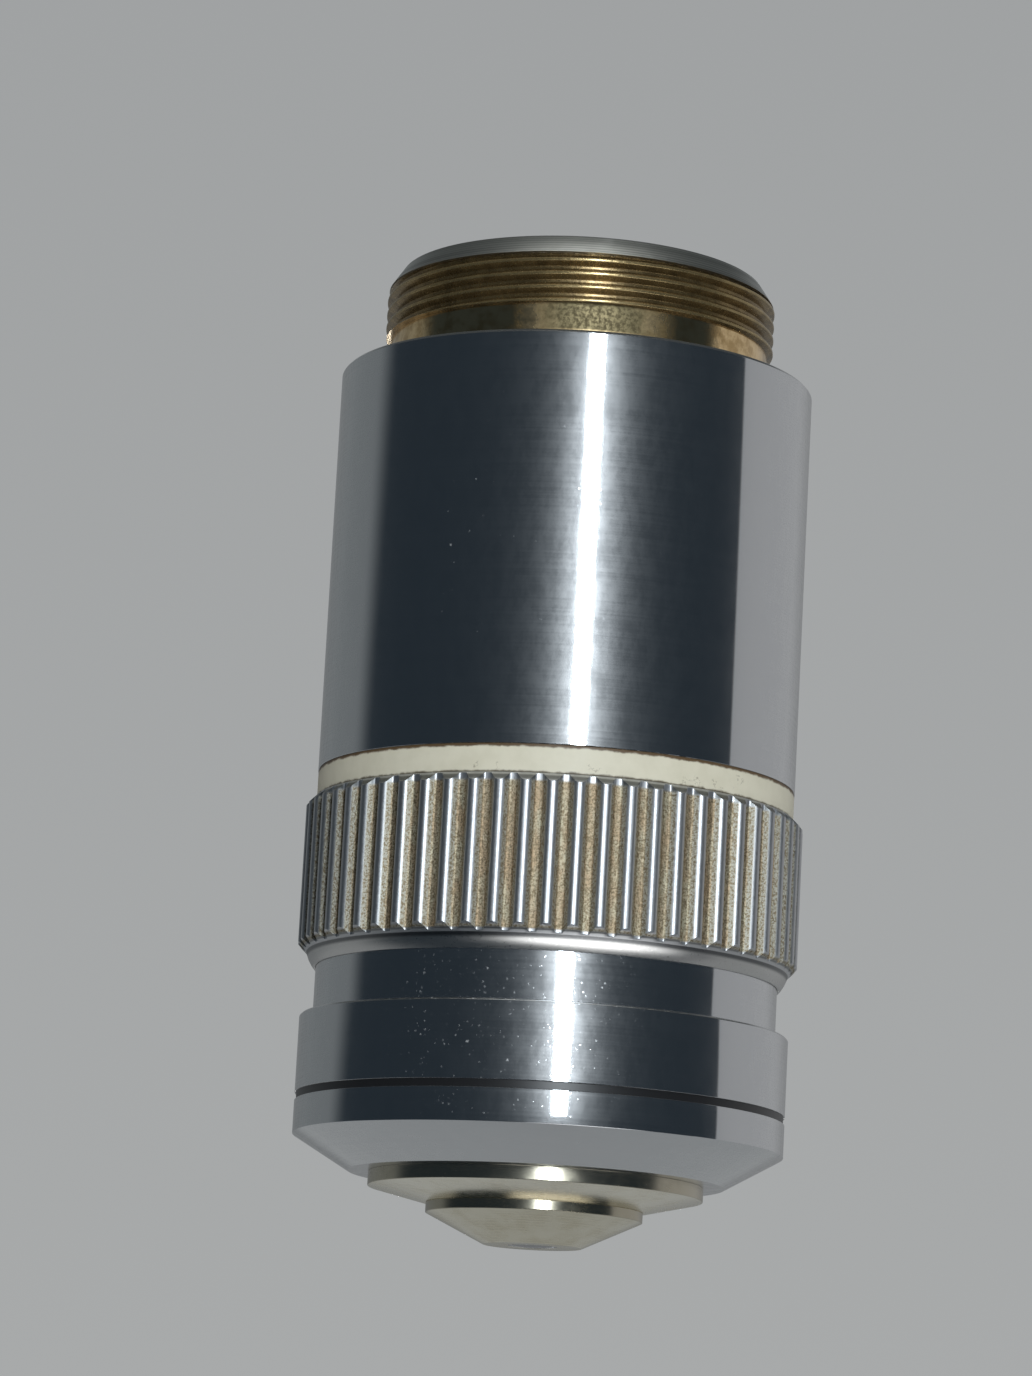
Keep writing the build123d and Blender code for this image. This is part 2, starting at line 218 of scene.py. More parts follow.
def maths(tree, operation, first, second=0.0):
    """One step of arithmetic on two numbers."""
    return add(tree, "Math", {0: first, 1: second}, operation=operation).outputs[0]


def blended(tree, share, first, second):
    """Mixes two colours by share."""
    return add(tree, "Mix", {0: share, 6: first, 7: second}, data_type="RGBA").outputs[2]


def weighed(tree, share, first, second):
    """Mixes two numbers by share."""
    return add(tree, "Mix", {0: share, 2: first, 3: second}, data_type="FLOAT").outputs[0]


def cloudy(tree, place, scale, detail=3.0, roughness=0.55, stretch=None):
    """Uneven cover: noise with so many lumps to the millimetre, stretched along an axis if need be."""
    if stretch:
        place = add(tree, "Mapping", {"Vector": place, "Scale": stretch}).outputs[0]
    return add(
        tree, "TexNoise",
        {"Vector": place, "Scale": scale, "Detail": detail, "Roughness": roughness},
    ).outputs[0]


def raised(tree, shader, height, depth):
    """Puts relief of that depth, in millimetres, on the surface."""
    bump = add(tree, "Bump", {"Height": height, "Distance": depth / mm_per_m, "Strength": 1.0})
    tree.links.new(bump.outputs[0], shader.inputs["Normal"])


neck_tarnished = (0.58, 0.40, 0.19, 1)
neck_bright = (0.90, 0.67, 0.37, 1)
patch_dark = (0.10, 0.078, 0.036, 1)
patch_pale = (0.19, 0.152, 0.076, 1)
thread_dark = (0.165, 0.115, 0.052, 1)
thread_pale = (0.28, 0.198, 0.090, 1)
# The next colour is painted shade for the thread roots
root_shade_brown = (0.14, 0.095, 0.042, 1)
crest_gold = (0.40, 0.312, 0.155, 1)
lead_dark = (0.39, 0.40, 0.38, 1)
lead_pale = (0.63, 0.64, 0.61, 1)
bore_black = (0.016, 0.015, 0.014, 1)
thread_brass, tree, shader, place = new_finish("thread_brass")
radius, height = heights(tree, place)
tarnish = cloudy(tree, place, 1.1, 5.0, 0.62)
fine_stain = cloudy(tree, place, 5.0, 4.0, 0.65)
on_thread = between(tree, height, neck_relief_top - 0.03, neck_relief_top + 0.02)
on_lead = between(tree, height, lead_start - 0.01, lead_start + 0.01)
on_brown = maths(tree, "SUBTRACT", on_thread, on_lead)
in_bore = between(tree, radius, collar_bore_radius + 0.12, collar_bore_radius + 0.04)

# The neck under the thread is polished, but for a dull patch in front
dull_centre = (0.8, -neck_relief_radius, 1.3)
dull_reach = 6.0
dull_core = 3.2
from_centre = add(tree, "VectorMath", {0: place, 1: dull_centre}, operation="DISTANCE").outputs["Value"]
ragged = maths(tree, "ADD", from_centre, maths(tree, "MULTIPLY", tarnish, 3.0))
above_shoulder = between(tree, height, 0.42, 0.72)
dull = maths(tree, "MULTIPLY", between(tree, ragged, dull_reach, dull_core), above_shoulder)
neck_colour = blended(tree, between(tree, tarnish, 0.35, 0.6), neck_tarnished, neck_bright)
patch_colour = blended(tree, between(tree, fine_stain, 0.38, 0.62), patch_dark, patch_pale)
neck_colour = blended(tree, dull, neck_colour, patch_colour)

# The thread is brown all over, with painted shade darkening its roots, and rubbed on its crests
in_root_shade = between(tree, radius, thread_crest_radius - 0.10, thread_root_radius + 0.10)
on_crest = between(tree, radius, thread_crest_radius - 0.04, thread_crest_radius - 0.005)
brown = blended(tree, between(tree, tarnish, 0.34, 0.62), thread_dark, thread_pale)
brown = blended(tree, maths(tree, "MULTIPLY", in_root_shade, 0.3), brown, root_shade_brown)
brown = blended(tree, maths(tree, "MULTIPLY", on_crest, 0.4), brown, crest_gold)
brass = blended(tree, on_thread, neck_colour, brown)

# The lead above the thread is grey, with the lines of the lathe tool, and the bore is black
lathe_lines = cloudy(tree, place, 1.0, 2.0, 0.5, (0.02, 0.02, 14.0))
grey = blended(tree, between(tree, lathe_lines, 0.35, 0.65), lead_dark, lead_pale)
colour = blended(tree, on_lead, brass, grey)
colour = blended(tree, in_bore, colour, bore_black)
tree.links.new(colour, shader.inputs["Base Color"])
rough = weighed(tree, between(tree, tarnish, 0.3, 0.65), 0.21, 0.12)
rough = weighed(tree, dull, rough, between(tree, fine_stain, 0.35, 0.65, 0.60, 0.42))
rough = weighed(tree, on_thread, rough, between(tree, fine_stain, 0.3, 0.7, 0.20, 0.30))
rough = weighed(tree, on_lead, rough, 0.38)
rough = weighed(tree, in_bore, rough, 0.7)
tree.links.new(rough, shader.inputs["Roughness"])
film = maths(tree, "MAXIMUM", maths(tree, "MULTIPLY", dull, 0.35), maths(tree, "MULTIPLY", on_brown, 0.2))
bare = maths(tree, "SUBTRACT", 1.0, maths(tree, "MAXIMUM", in_bore, film))
tree.links.new(bare, shader.inputs["Metallic"])
raised(tree, shader, maths(tree, "ADD", fine_stain, maths(tree, "MULTIPLY", lathe_lines, 0.5)), 0.006)
finished("thread_collar_brass", collar, "body", ["thread_collar"], thread_brass, crease=25)

# Rear baffle
# A thin brass disc under the barrel's web, blackened all over to stop stray light.
# It is pushed up the bore against the web and cemented there.
baffle_radius = 10.38
baffle_aperture_radius = 5.5
baffle_top = -6.5
baffle_bottom = -7.0
baffle_black = (0.010, 0.010, 0.011, 1)
baffle_rubbed = (0.045, 0.038, 0.028, 1)


def turned(outline, rounding=0.03, steps=256):
    """Spins a closed outline of (radius, height) points round the axis, with its corners rounded."""
    mesh = bmesh.new()
    corners = [mesh.verts.new((radius, 0, height)) for radius, height in outline]
    mesh.faces.new(corners)
    bmesh.ops.bevel(
        mesh, geom=corners, offset=rounding, offset_type="OFFSET", segments=3,
        profile=0.5, affect="VERTICES", clamp_overlap=True, material=-1,
    )
    bmesh.ops.delete(mesh, geom=mesh.faces[:], context="FACES_ONLY")
    bmesh.ops.spin(
        mesh, geom=mesh.verts[:] + mesh.edges[:], cent=(0, 0, 0), axis=(0, 0, 1),
        dvec=(0, 0, 0), angle=2 * math.pi, steps=steps, use_merge=True,
    )
    return mesh


black_brass, tree, shader, place = new_finish("blackened_brass", Metallic=0.35)
worn = cloudy(tree, place, 2.0, 4.0)
colour = blended(tree, between(tree, worn, 0.45, 0.8), baffle_black, baffle_rubbed)
tree.links.new(colour, shader.inputs["Base Color"])
tree.links.new(between(tree, worn, 0.3, 0.75, 0.75, 0.45), shader.inputs["Roughness"])
raised(tree, shader, cloudy(tree, place, 9.0, 3.0), 0.008)
baffle = turned([
    (baffle_aperture_radius, baffle_top),
    (baffle_radius, baffle_top),
    (baffle_radius, baffle_bottom),
    (baffle_aperture_radius, baffle_bottom),
])
finished("rear_baffle_disc", baffle, "body", ["rear_baffle"], black_brass)

# Outer barrel
# The long housing, turned from brass and plated with bright chrome, screwed on to the collar.
# Its polish has fine turning marks, a few rubbed smears and specks of dust.
barrel_radius = 12.25
barrel_bottom = -21.0
barrel_chamfer = 0.15
spigot_radius = 11.30
spigot_end = -27.0
housing_bore_radius = 10.40
web_radius = 9.19
seat_clearance = 0.02
plate_silver = (0.60, 0.615, 0.635, 1)
dust_grey = (0.58, 0.57, 0.55, 1)
lacquer_black = (0.012, 0.012, 0.013, 1)
dust_reach = 8.5
dust_core = 0.5


def specks(tree, place, per_mm, size, share):
    """Scattered grains: so many places to the millimetre, a share of them holding a grain of that size."""
    wander = 0.16
    smallest = 0.25
    strongest = 0.5
    ragged = add(tree, "TexNoise", {"Vector": place, "Scale": 14.0, "Detail": 2.0}).outputs["Color"]
    nudge = add(tree, "VectorMath", {0: ragged, "Scale": wander}, operation="SCALE").outputs[0]
    moved = add(tree, "VectorMath", {0: place, 1: nudge}, operation="ADD").outputs[0]
    cells = add(tree, "TexVoronoi", {"Vector": moved, "Scale": per_mm})
    chance = add(tree, "SeparateColor", {0: cells.outputs["Color"]})
    width = maths(tree, "MULTIPLY_ADD", chance.outputs[1], size * per_mm)
    width.node.inputs[2].default_value = smallest * size * per_mm
    inside = between(tree, maths(tree, "DIVIDE", cells.outputs["Distance"], width), 1.2, 0.1)
    chosen = maths(tree, "GREATER_THAN", chance.outputs[0], 1.0 - share)
    faint = maths(tree, "MULTIPLY", maths(tree, "POWER", chance.outputs[2], 2.0), strongest)
    return maths(tree, "MULTIPLY", maths(tree, "MULTIPLY", inside, chosen), faint)


def plated(name, dust, dust_centre, groove=None):
    """Bright plate: fine turning marks, a film of rubbed haze, and dust gathered round one place.
    A groove's two heights take black lacquer."""
    finish, tree, shader, place = new_finish(name, Coat_IOR=2.2, Coat_Roughness=0.315)
    _, height = heights(tree, place)
    marks = cloudy(tree, place, 1.0, 2.0, 0.5, (0.03, 0.03, 11.0))
    rubbed = cloudy(tree, place, 1.3, 6.0, 0.75, (1.0, 1.0, 0.5))
    uneven = maths(tree, "ADD", rubbed, maths(tree, "MULTIPLY", marks, 0.4))
    film = between(tree, uneven, 0.5, 0.88, 0.62, 1.0)
    away = add(tree, "VectorMath", {0: place, 1: dust_centre}, operation="DISTANCE").outputs["Value"]
    clumps = cloudy(tree, place, 0.9, 3.0)
    near = between(tree, away, dust_reach, dust_core)
    gathered = maths(tree, "MULTIPLY", near, between(tree, clumps, 0.3, 0.62))
    coarse = specks(tree, place, per_mm=2.3, size=0.075, share=dust)
    fine = specks(tree, place, per_mm=4.5, size=0.06, share=dust)
    dusty = maths(tree, "MULTIPLY", maths(tree, "MAXIMUM", coarse, fine), between(tree, gathered, 0.02, 0.5))
    colour = blended(tree, dusty, plate_silver, dust_grey)
    rough = between(tree, rubbed, 0.2, 0.8, 0.05, 0.065)
    rough = weighed(tree, dusty, rough, 0.8)
    metal = maths(tree, "SUBTRACT", 1.0, dusty)
    if groove:
        low, high = groove
        edge = 0.005
        in_groove = maths(
            tree, "MULTIPLY",
            between(tree, height, low - edge, low + edge),
            between(tree, height, high + edge, high - edge),
        )
        colour = blended(tree, in_groove, colour, lacquer_black)
        rough = weighed(tree, in_groove, rough, 0.35)
        beside = maths(tree, "SUBTRACT", 1.0, in_groove)
        metal = maths(tree, "MULTIPLY", metal, beside)
        film = maths(tree, "MULTIPLY", film, beside)
    tree.links.new(colour, shader.inputs["Base Color"])
    tree.links.new(rough, shader.inputs["Roughness"])
    tree.links.new(metal, shader.inputs["Metallic"])
    tree.links.new(film, shader.inputs["Coat Weight"])
    relief = maths(tree, "ADD", marks, maths(tree, "MULTIPLY", dusty, 3.0))
    raised(tree, shader, relief, 0.0011)
    return finish


barrel_chrome = plated("barrel_chrome", dust=0.06, dust_centre=(-2.0, -12.0, -10.0))
barrel = turned([
    (collar_seat_radius + seat_clearance, 0),
    (barrel_radius - barrel_chamfer, 0),
    (barrel_radius, -barrel_chamfer),
    (barrel_radius, barrel_bottom),
    (spigot_radius, barrel_bottom),
    (spigot_radius, spigot_end),
    (housing_bore_radius, spigot_end),
    (housing_bore_radius, baffle_top),
    (web_radius, baffle_top),
    (web_radius, collar_bottom),
    (collar_seat_radius + seat_clearance, collar_bottom),
])
finished("outer_barrel_chrome", barrel, "body", ["outer_barrel"], barrel_chrome)

# Colour ring
# A cream plastic band that tells the magnification, pushed on the spigot against the barrel.
# Brown grime has gathered in the seam above it, painted shade darkens its lower edge, and a few hairs lie in
# the surface.
band_radius = 12.23
band_bore_radius = 11.32
band_bottom = -22.45
band_rounding = 0.05
seam_reach = 0.10
seam_edge = 0.02
cream_dull = (0.58, 0.543, 0.425, 1)
cream_bright = (0.617, 0.579, 0.46, 1)
hair_brown = (0.16, 0.13, 0.09, 1)
upper_seam_brown = (0.10, 0.062, 0.030, 1)
lower_edge_shade_brown = (0.12, 0.10, 0.07, 1)

cream, tree, shader, place = new_finish("cream_plastic", Specular_IOR_Level=0.4)
_, height = heights(tree, place)
mottle = cloudy(tree, place, 1.3, 4.0)
colour = blended(tree, between(tree, mottle, 0.3, 0.7), cream_dull, cream_bright)
wander = cloudy(tree, place, 0.9, 4.0, 0.65)
hair_line = maths(tree, "ABSOLUTE", maths(tree, "SUBTRACT", wander, 0.5))
hair = maths(
    tree, "MULTIPLY",
    between(tree, hair_line, 0.010, 0.004),
    between(tree, cloudy(tree, place, 0.55, 2.0), 0.60, 0.64),
)
colour = blended(tree, maths(tree, "MULTIPLY", hair, 0.55), colour, hair_brown)
uneven = maths(tree, "MULTIPLY", cloudy(tree, place, 2.4, 4.0, 0.6), 0.24)
seam_top = between(
    tree, maths(tree, "ADD", height, uneven),
    barrel_bottom - seam_reach, barrel_bottom + seam_edge,
)
# Painted shade: the ring's lower edge is darkened where it meets the grip
lower_edge_shade = between(
    tree, maths(tree, "SUBTRACT", height, uneven),
    band_bottom + seam_edge, band_bottom - seam_reach,
)
colour = blended(tree, seam_top, colour, upper_seam_brown)
colour = blended(tree, lower_edge_shade, colour, lower_edge_shade_brown)
tree.links.new(colour, shader.inputs["Base Color"])
tree.links.new(between(tree, mottle, 0.25, 0.75, 0.42, 0.56), shader.inputs["Roughness"])
raised(tree, shader, maths(tree, "ADD", maths(tree, "MULTIPLY", mottle, 0.2), seam_top), 0.004)
band = turned([
    (band_bore_radius, barrel_bottom),
    (band_radius, barrel_bottom),
    (band_radius, band_bottom),
    (band_bore_radius, band_bottom),
], band_rounding)
finished("colour_ring_band", band, "body", ["colour_ring"], cream)

# Knurled grip
# A nickel-plated brass ring pressed on the spigot, with straight grooves milled round it.
# The crests are worn bright, the groove floors hold gold-brown grime, a smooth rim closes it below; painted
# shade darkens the tooth ends and the top of the rim.
knurl_count = 60
crest_radius = 12.75
crest_half_width = 0.19
crest_rounding = 0.15
floor_radius = 12.361
floor_half_width = 0.1676
floor_rounding = 0.05
behind_floor_radius = 11.861
first_groove = math.radians(2.25)
grip_rim_radius = 12.30
grip_bore_radius = 11.32
grip_lower_bore_radius = 11.80
knurl_bottom = -30.35
grip_bottom = -31.1
top_edge_width = 0.03
top_edge_height = 0.01
rim_bends = ((0.13, 0.34), (0.28, 0.60))
rim_taper = 0.40

grip = bmesh.new()
tooth_pitch = 2 * math.pi / knurl_count
crest_half_angle = math.asin(crest_half_width / crest_radius)
floor_half_angle = math.asin(floor_half_width / floor_radius)
tooth = [
    grip.verts.new((radius * math.cos(first_groove + angle), radius * math.sin(first_groove + angle), 0))
    for radius, angle in (
        (floor_radius, 0),
        (floor_radius, floor_half_angle),
        (crest_radius, tooth_pitch / 2 - crest_half_angle),
        (crest_radius, tooth_pitch / 2 + crest_half_angle),
        (floor_radius, tooth_pitch - floor_half_angle),
        (floor_radius, tooth_pitch),
        (behind_floor_radius, tooth_pitch),
        (behind_floor_radius, 0),
    )
]
grip.faces.new(tooth)
bmesh.ops.bevel(
    grip, geom=tooth[2:4], offset=crest_rounding, offset_type="OFFSET", segments=5,
    profile=0.5, affect="VERTICES", clamp_overlap=True, material=-1,
)
bmesh.ops.bevel(
    grip, geom=[tooth[1], tooth[4]], offset=floor_rounding, offset_type="OFFSET", segments=2,
    profile=0.5, affect="VERTICES", clamp_overlap=True, material=-1,
)
bmesh.ops.delete(grip, geom=tooth[6:8], context="VERTS")
bmesh.ops.spin(
    grip, geom=grip.verts[:] + grip.edges[:], cent=(0, 0, 0), axis=(0, 0, 1),
    dvec=(0, 0, 0), angle=2 * math.pi, steps=knurl_count, use_duplicate=True,
)
bmesh.ops.remove_doubles(grip, verts=grip.verts[:], dist=0.001)
upper_rim = grip.edges[:]
for vert in grip.verts:
    vert.co.z = band_bottom - (math.hypot(vert.co.x, vert.co.y) - grip_rim_radius)
grown = bmesh.ops.extrude_edge_only(grip, edges=upper_rim)["geom"]
lower_rim = [g for g in grown if isinstance(g, bmesh.types.BMEdge)]
for vert in (g for g in grown if isinstance(g, bmesh.types.BMVert)):
    vert.co.z = knurl_bottom + (math.hypot(vert.co.x, vert.co.y) - grip_rim_radius)
for radius, height in (
    (grip_rim_radius, band_bottom - top_edge_height),
    (grip_rim_radius - top_edge_width, band_bottom),
    (grip_bore_radius, band_bottom),
    (grip_bore_radius, spigot_end),
):
    upper_rim = drawn_on(grip, upper_rim, radius, height)
for radius, height in (
    (grip_rim_radius, knurl_bottom),
    *((grip_rim_radius - inset, knurl_bottom - drop) for inset, drop in rim_bends),
    (grip_rim_radius - rim_taper, grip_bottom),
    (grip_lower_bore_radius, grip_bottom),
    (grip_lower_bore_radius, spigot_end),
    (grip_bore_radius, spigot_end),
):
    lower_rim = drawn_on(grip, lower_rim, radius, height)

crest_nickel = (0.585, 0.592, 0.605, 1)
rim_nickel = (0.60, 0.598, 0.59, 1)
flank_nickel = (0.575, 0.55, 0.47, 1)
gold_dark = (0.61, 0.467, 0.315, 1)
gold_pale = (0.665, 0.615, 0.465, 1)
fleck_brown = (0.25, 0.195, 0.12, 1)
end_shade_grey = (0.17, 0.175, 0.17, 1)
rim_top_shade_grey = (0.16, 0.165, 0.17, 1)
crest_edge_radii = (12.69, 12.58)
flank_foot_radii = (12.40, 12.46)
end_foot_radii = (12.39, 12.47)
grip_nickel, tree, shader, place = new_finish("grip_nickel", Metallic=1.0)
radius, height = heights(tree, place)
along = cloudy(tree, place, 1.6, 4.0, 0.65, (1.0, 1.0, 0.35))
grains = cloudy(tree, place, 10.0, 3.0, 0.7)
below_top = between(tree, height, band_bottom - 0.30, band_bottom - 0.48)
above_rim = between(tree, height, knurl_bottom + 0.14, knurl_bottom + 0.26)
in_knurl = maths(tree, "MULTIPLY", below_top, above_rim)
in_groove = maths(tree, "MULTIPLY", between(tree, radius, *crest_edge_radii), in_knurl)
gold = blended(tree, between(tree, along, 0.35, 0.65), gold_dark, gold_pale)
flank = between(tree, radius, *flank_foot_radii)
gold = blended(tree, flank, gold, flank_nickel)
gold = blended(tree, between(tree, grains, 0.38, 0.60), fleck_brown, gold)
on_rim = between(tree, height, knurl_bottom + 0.01, knurl_bottom - 0.03)
colour = blended(tree, in_groove, crest_nickel, gold)
# Painted shade on the chamfered tooth ends, under the colour ring and above the rim
on_end = maths(tree, "SUBTRACT", 1.0, in_knurl)
end_shade = maths(tree, "MULTIPLY", on_end, between(tree, radius, *end_foot_radii))
colour = blended(tree, maths(tree, "MULTIPLY", end_shade, 0.85), colour, end_shade_grey)
colour = blended(tree, on_rim, colour, rim_nickel)
# Painted shade, with some grime, darkens the top of the rim in the corner under the teeth
rim_top_shade = between(tree, height, knurl_bottom - 0.30, knurl_bottom - 0.12)
rim_top_shade = maths(tree, "MULTIPLY", rim_top_shade, on_rim)
colour = blended(tree, rim_top_shade, colour, rim_top_shade_grey)
tree.links.new(colour, shader.inputs["Base Color"])
rough = between(tree, grains, 0.35, 0.65, 0.40, 0.50)
rough = weighed(tree, in_groove, rough, between(tree, grains, 0.3, 0.7, 0.57, 0.67))
rough = weighed(tree, on_rim, rough, between(tree, grains, 0.3, 0.7, 0.27, 0.36))
tree.links.new(rough, shader.inputs["Roughness"])
raised(tree, shader, maths(tree, "MULTIPLY", grains, maths(tree, "ADD", in_groove, 0.08)), 0.02)
finished("knurled_grip_ring", grip, "body", ["knurled_grip"], grip_nickel, crease=30)

# Guide tube
# A brass tube pressed up inside the grip, whose bright plated outside is the neck of the objective.
# Its inner ledge stops the nose, and a pin through the ledge keeps the nose from turning.
neck_radius = 11.78
guide_bottom = -36.3
ledge_radius = 8.35
ledge_top = -34.5

neck_chrome = plated("neck_chrome", dust=0.9, dust_centre=(-1.5, -11.5, -33.0))
guide = turned([
    (housing_bore_radius, spigot_end),
    (neck_radius, spigot_end),
    (neck_radius, guide_bottom),
    (ledge_radius, guide_bottom),
    (ledge_radius, ledge_top),
    (housing_bore_radius, ledge_top),
])
finished("guide_tube_neck", guide, "body", ["guide_tube"], neck_chrome)

# Small pieces inside the housing
# The guide pin is hardened steel, the thin shim that sets the focus and the spring's seat are brass.
# They are turned, left bright and never seen once the objective is together.


def lathe_finish(name, clean, stained, roughness):
    """Bare turned metal: fine rings, a little tarnish."""
    finish, tree, shader, place = new_finish(name, Metallic=1.0)
    rings = cloudy(tree, place, 1.0, 2.0, 0.5, (0.3, 0.3, 7.0))
    stain = cloudy(tree, place, 0.8, 4.0)
    colour = blended(tree, between(tree, stain, 0.35, 0.7), clean, stained)
    tree.links.new(colour, shader.inputs["Base Color"])
    tree.links.new(between(tree, rings, 0.3, 0.7, roughness, roughness + 0.15), shader.inputs["Roughness"])
    raised(tree, shader, rings, 0.003)
    return finish


def refinished(finish, *names):
    """Gives CAD nodes whose shape is right a better finish."""
    for name in names:
        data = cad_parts[name].data
        data.materials.clear()
        data.materials.append(finish)


steel = lathe_finish("pin_steel", (0.30, 0.30, 0.31, 1), (0.48, 0.48, 0.49, 1), 0.25)
cell_brass = lathe_finish("cell_brass", (0.50, 0.33, 0.11, 1), (0.66, 0.47, 0.19, 1), 0.24)
refinished(steel, "guide_pin")
refinished(cell_brass, "parfocal_shim", "spring_seat_ring")

# Return spring
# Six turns of round steel wire between the lens barrel's flange and the seat in the housing.
# It presses the nose out and shortens when the nose is pushed in; the piece here keeps its resting length.
wire_radius = 0.45
spring_radius = 9.35
spring_turns = 6
spring_low = -33.2
spring_high = -20.9
steps_per_coil = 72
wire_sides = 14

spring_steel = lathe_finish("spring_steel", (0.22, 0.22, 0.23, 1), (0.36, 0.36, 0.38, 1), 0.30)
spring = bmesh.new()
bmesh.ops.create_circle(spring, cap_ends=True, radius=wire_radius, segments=wire_sides)
bmesh.ops.rotate(spring, verts=spring.verts[:], cent=(0, 0, 0), matrix=Matrix.Rotation(math.pi / 2, 3, "X"))
bmesh.ops.translate(spring, verts=spring.verts[:], vec=(spring_radius, 0, spring_low + wire_radius))
coil_rise = spring_high - spring_low - 2 * wire_radius
coil_steps = steps_per_coil * spring_turns
bmesh.ops.spin(
    spring, geom=spring.verts[:] + spring.edges[:] + spring.faces[:], cent=(0, 0, 0), axis=(0, 0, 1),
    dvec=(0, 0, coil_rise / coil_steps), angle=2 * math.pi * spring_turns, steps=coil_steps,
)
coil = finished(
    "return_spring_coil", spring, "body", ["return_spring"], spring_steel, crease=40,
)
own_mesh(coil)

# Nose sleeve
# The cap that slides on the neck when the nose is pushed in, chrome-plated brass like the barrel.
# A black lacquered groove marks it as an oil objective, and a wide cone leads to the front.
sleeve_radius = 12.45
sleeve_bore_radius = 11.83
sleeve_top = -33.6
sleeve_floor = -38.9
sleeve_edge = -39.6
sleeve_front = -41.3
sleeve_front_radius = 9.55
sleeve_hole_radius = 7.92
groove_top = -37.55
groove_bottom = -37.95
groove_radius = 12.37
sleeve_chamfer = 0.1
sleeve_rounding = 0.02

sleeve_chrome = plated(
    "sleeve_chrome", dust=0.75, dust_centre=(-1.5, -12.3, -35.0), groove=(groove_bottom, groove_top),
)
sleeve = turned([
    (sleeve_bore_radius, sleeve_top),
    (sleeve_radius - sleeve_chamfer, sleeve_top),
    (sleeve_radius, sleeve_top - sleeve_chamfer),
    (sleeve_radius, groove_top),
    (groove_radius, groove_top),
    (groove_radius, groove_bottom),
    (sleeve_radius, groove_bottom),
    (sleeve_radius, sleeve_edge),
    (sleeve_front_radius, sleeve_front),
    (sleeve_hole_radius, sleeve_front),
    (sleeve_hole_radius, sleeve_floor),
    (sleeve_bore_radius, sleeve_floor),
], sleeve_rounding)
finished("nose_sleeve_cap", sleeve, "nose", ["nose_sleeve"], sleeve_chrome)

# Lens barrel and its train
# A blackened tube hangs in the housing by its flange and carries the brass lens cells and spacers.
# A slotted ring screwed in from behind closes the train.
refinished(black_brass, "lens_barrel", "retaining_ring", "spacer_a", "spacer_b")
refinished(cell_brass, "meniscus_cell", "doublet_a_cell", "doublet_b_cell", "rear_doublet_cell")

# Lenses
# A meniscus and three cemented doublets of clear optical glass, dropped into their cells.
# The rear glass shows from behind with the violet cast of its coating.


def optical(name, tint, film):
    """Clear glass with a thin coating, faintly dusty."""
    finish, tree, shader, place = new_finish(
        name, Transmission_Weight=1.0, IOR=1.6, Specular_Tint=film, Base_Color=tint,
    )
    dust = specks(tree, place, per_mm=3.0, size=0.03, share=0.25)
    tree.links.new(weighed(tree, dust, 0.01, 0.5), shader.inputs["Roughness"])
    return finish


def lens(profile, steps=160):
    """Spins an open profile that starts and ends on the axis."""
    mesh = bmesh.new()
    points = [mesh.verts.new((radius, 0, height)) for radius, height in profile]
    for first, second in zip(points, points[1:]):
        mesh.edges.new((first, second))
    bmesh.ops.spin(
        mesh, geom=mesh.verts[:] + mesh.edges[:], cent=(0, 0, 0), axis=(0, 0, 1),
        dvec=(0, 0, 0), angle=2 * math.pi, steps=steps, use_merge=True,
    )
    return mesh


def sphere_cut(curve, radius, vertex, hollow_side, count=16):
    """Points of a lens surface from its vertex on the axis to its edge."""
    return [
        (
            radius * i / count,
            vertex + hollow_side * (curve - math.sqrt(curve ** 2 - (radius * i / count) ** 2)),
        )
        for i in range(count + 1)
    ]


coated = optical("coated_glass", tint=(0.93, 0.95, 0.97, 1), film=(0.75, 0.62, 1.0, 1))
refinished(
    coated, "meniscus_lens", "doublet_a_flint", "doublet_a_crown", "doublet_b_flint",
    "doublet_b_crown", "rear_doublet_flint",
)
rear_low, rear_high = (corner.z * mm_per_m for corner in map(Vector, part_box("rear_doublet_crown")))
rear_radius = 5.2
rear_low_curve = 11.0
rear_high_curve = 16.0
rear_profile = sphere_cut(rear_low_curve, rear_radius, rear_low, 1)
rear_profile += sphere_cut(rear_high_curve, rear_radius, rear_high, -1)[::-1]
finished("rear_doublet_glass", lens(rear_profile), "nose", ["rear_doublet_crown"], coated)

# Front mount
# The outer pale ring at the nose, turned from nickel silver and left without plate.
# It screws up into the lens barrel and its rim clamps the sleeve.
mount_bore_radius = 4.62
mount_nose_radius = 5.6
mount_rim_radius = 8.5
mount_spigot_radius = 6.58
mount_nose = -42.7
mount_edge = -42.0
mount_top = -39.8
nose_rounding = 0.025
rim_tarnish = (0.42, 0.38, 0.29, 1)


def pale_metal(name, rubbed, tarnished, rim_radius):
    """Pale turned nickel silver: fine rings, rubbed bright, and tarnish that is darkest round its rim."""
    finish, tree, shader, place = new_finish(name, Metallic=1.0)
    radius, _ = heights(tree, place)
    rings = add(
        tree, "TexNoise", {"W": radius, "Scale": 16.0, "Detail": 2.0}, noise_dimensions="1D",
    ).outputs[0]
    stain = cloudy(tree, place, 0.7, 4.0, 0.6)
    colour = blended(tree, between(tree, stain, 0.35, 0.7), rubbed, tarnished)
    on_rim = between(tree, radius, rim_radius - 0.06, rim_radius - 0.02, 0.0, 0.75)
    colour = blended(tree, on_rim, colour, rim_tarnish)
    tree.links.new(colour, shader.inputs["Base Color"])
    ring_rough = between(tree, rings, 0.3, 0.7, 0.16, 0.26)
    rough = maths(tree, "ADD", ring_rough, between(tree, stain, 0.4, 0.8, 0.0, 0.1))
    tree.links.new(rough, shader.inputs["Roughness"])
    raised(tree, shader, rings, 0.0012)
    return finish


